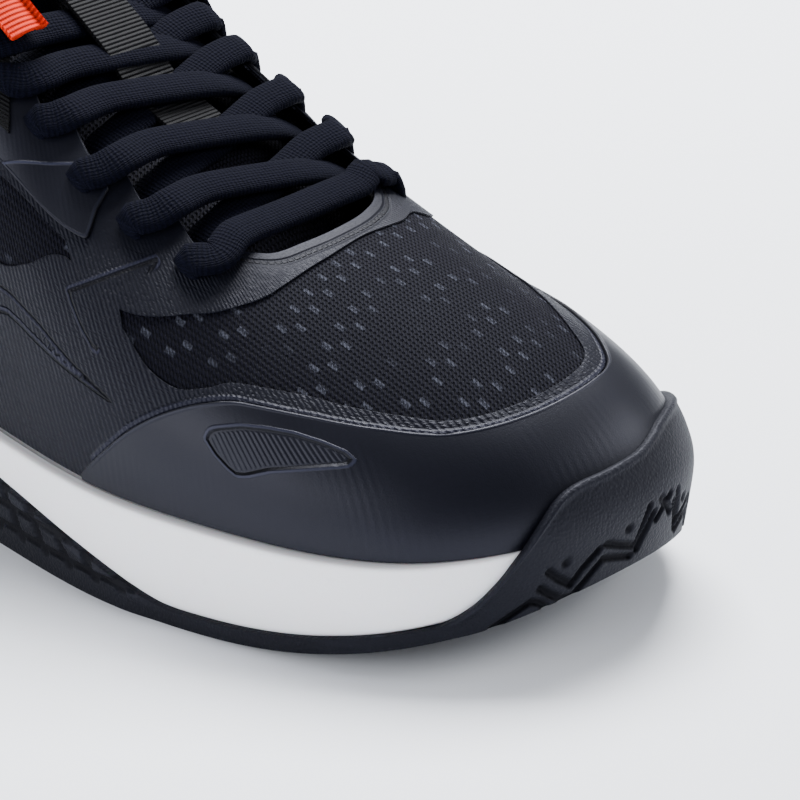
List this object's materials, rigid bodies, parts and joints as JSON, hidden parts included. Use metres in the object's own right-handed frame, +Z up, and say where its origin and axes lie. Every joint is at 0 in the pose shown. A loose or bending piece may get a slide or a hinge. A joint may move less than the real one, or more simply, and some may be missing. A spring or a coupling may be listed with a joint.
{
  "type": "court shoe",
  "caption": "Low lace-up court shoe with a wrapped toe guard, ribbed film overlay, mesh vamp, flat laces in a bow and a removable sockliner.",
  "frame": {"origin": "on the ground under the middle of the whole shoe's box", "axes": "+X from heel to toe, +Y to the inner (big toe) side of a right shoe, +Z up"},
  "size_m": [0.2996, 0.1082, 0.1303],
  "materials": {
    "rubber": "matte, fine pebble grain",
    "foam": "white moulded foam, satin skin",
    "film": "ribbed synthetic film, satin",
    "mesh": "two-layer knitted mesh",
    "cap": "smooth synthetic leather, satin",
    "plastic": "moulded plastic, satin",
    "board": "fibre board, matte",
    "lining": "brushed textile",
    "padding": "soft foam behind textile",
    "lace": "flat woven",
    "webbing": "ribbed woven tape",
    "orange": "woven tape, matte",
    "clear": "hard clear tip over dark weave"
  },
  "bodies": {
    "shoe": {"outsole": "rubber", "midsole": "foam", "midfoot_shank": "plastic", "heel_cushion": "orange", "insole_board": "board", "vamp_mesh": "mesh", "quarter_base_outer": "mesh", "quarter_base_inner": "mesh", "film_overlay": "film", "toe_cap": "cap", "eyestay_outer": "cap", "eyestay_inner": "cap", "support_strap_outer": "webbing", "support_strap_inner": "webbing", "vamp_lining": "lining", "quarter_lining": "lining", "collar_padding": "padding", "collar_rim": "lining", "heel_counter": "plastic", "toe_puff": "plastic", "heel_clip": "plastic", "heel_tab": "webbing", "tongue": "mesh", "tongue_webbing": "webbing", "tongue_label": "orange", "lace": "lace", "lace_end_outer": "lace", "lace_end_inner": "lace", "aglet_outer": "clear", "aglet_inner": "clear"},
    "sockliner": {"sockliner": "lining"}
  },
  "joints": [
    {"name": "sockliner_lift", "type": "hinge", "parent": "shoe", "child": "sockliner", "pos_m": [0.139, 0, 0.03], "axis": [0, 1, 0], "range_deg": [0, 3]}
  ]
}
